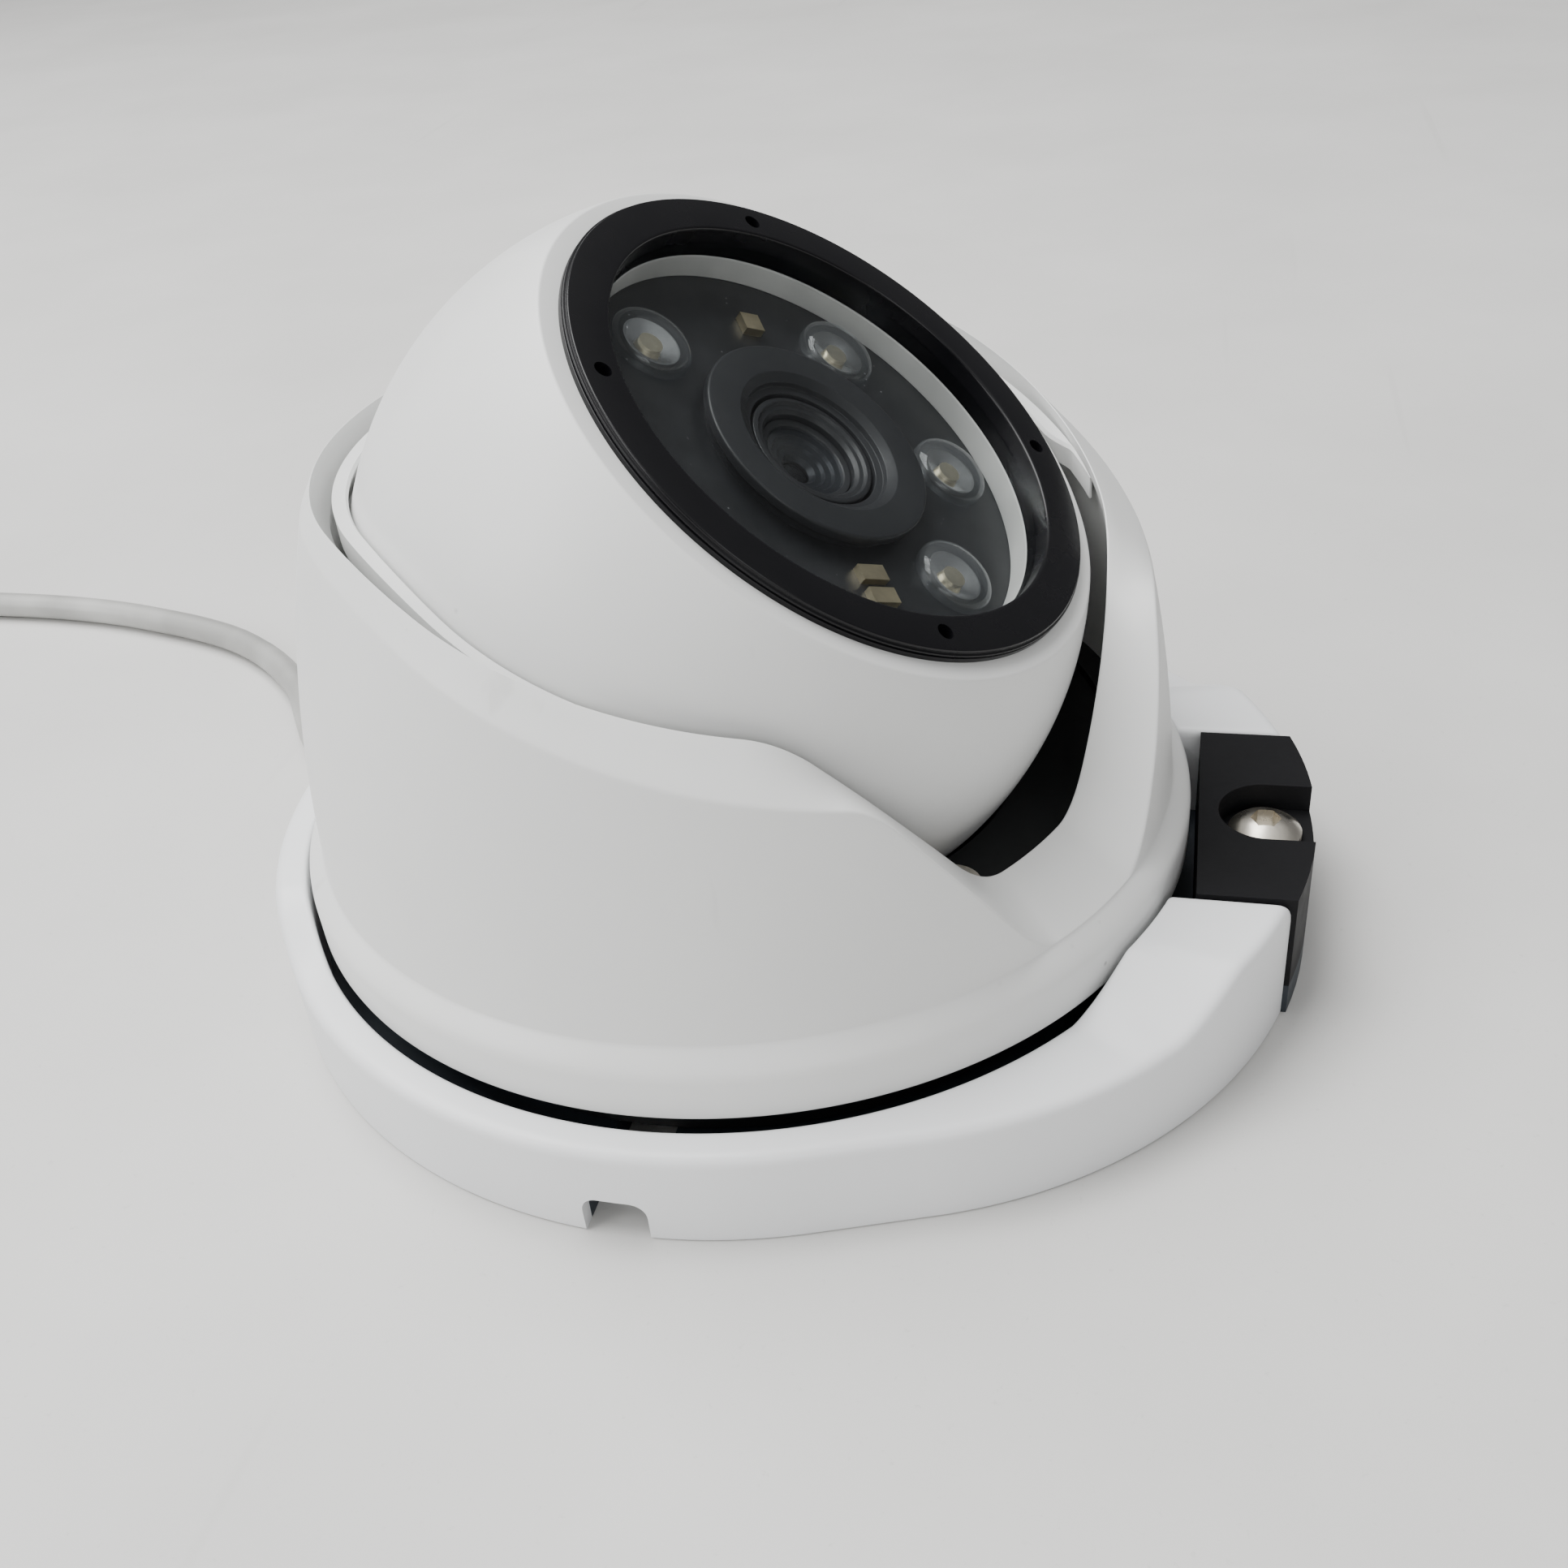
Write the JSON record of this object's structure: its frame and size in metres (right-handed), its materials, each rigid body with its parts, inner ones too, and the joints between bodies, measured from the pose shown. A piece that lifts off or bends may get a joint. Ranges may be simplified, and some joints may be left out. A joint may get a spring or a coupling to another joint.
{
  "type": "dome cctv camera",
  "caption": "Small dome security camera: a lamp-ringed eyeball turns and tilts in a tapered cup on a round clamped base, with a cable pigtail.",
  "frame": {"origin": "on the turning axis of the housing, at the mounting face under the base plate", "axes": "+Z out of the mounting face along the turning axis, +X towards the clamp block, +Y by the right-hand rule"},
  "size_m": [0.2509, 0.1567, 0.0696],
  "materials": {
    "white_paint": "satin",
    "black_cast": "satin",
    "black_plastic": "matte",
    "steel": "brushed",
    "brass": "satin",
    "plating": "polished",
    "rubber": "matte",
    "clear_glass": "polished",
    "lamp_resin": "polished",
    "white_plastic": "matte",
    "circuit_board": "satin",
    "board_part": "matte",
    "cable_jacket": "satin"
  },
  "bodies": {
    "mount_base": {"base_plate": "black_cast", "trim_ring": "white_paint", "clamp_block": "black_plastic", "lock_insert": "brass", "block_screws": "steel", "ring_screws": "steel", "retainer_ring": "steel", "retainer_screws": "steel", "cable_grommet": "rubber", "cable": "cable_jacket", "cable_coil": "cable_jacket", "coil_tie": "black_plastic", "cable_run_out": "cable_jacket", "cable_splitter": "black_plastic", "video_tail": "black_plastic", "video_boot": "black_plastic", "video_socket": "plating", "power_tail": "black_plastic", "power_boot": "black_plastic", "power_jack": "black_plastic"},
    "lock": {"lock_screw": "steel"},
    "turret": {"shroud": "white_paint", "inner_liner": "black_plastic", "ball_cradle": "black_plastic", "cradle_screws": "steel", "seat_ring": "white_paint"},
    "tilt_stem": {"cable_gland": "rubber", "gland_nut": "steel"},
    "eyeball": {"front_shell": "white_paint", "rear_shell": "white_paint", "shell_seal": "rubber", "front_bezel": "black_cast", "bezel_seal": "rubber", "window_glass": "clear_glass", "spacer_ring": "white_plastic", "led_board": "circuit_board", "ir_lamps": "lamp_resin", "lamp_emitters": "board_part", "board_parts": "board_part", "lens_hood": "black_plastic", "lens_barrel": "black_cast", "lens_glass": "clear_glass", "lens_holder": "black_plastic", "holder_screws": "steel", "sensor_board": "circuit_board", "image_sensor": "board_part", "board_standoffs": "steel", "board_screws": "steel"}
  },
  "joints": [
    {"name": "pan", "type": "hinge", "parent": "mount_base", "child": "turret", "pos_m": [0, 0, 0.0371], "axis": [0, 0, 1], "range_deg": [-178, 178]},
    {"name": "tilt", "type": "hinge", "parent": "turret", "child": "tilt_stem", "pos_m": [0, 0, 0.0371], "axis": [0.1736, 0.9848, 0], "range_deg": [-38.5, 31.5]},
    {"name": "roll", "type": "hinge", "parent": "tilt_stem", "child": "eyeball", "pos_m": [0, 0, 0.0371], "axis": [0.6131, -0.1081, 0.7826], "range_deg": [-175, 175]},
    {"name": "lock_turn", "type": "hinge", "parent": "mount_base", "child": "lock", "pos_m": [0.0506, 0, 0.012], "axis": [0, 0, 1], "range_deg": [0, 720]}
  ]
}
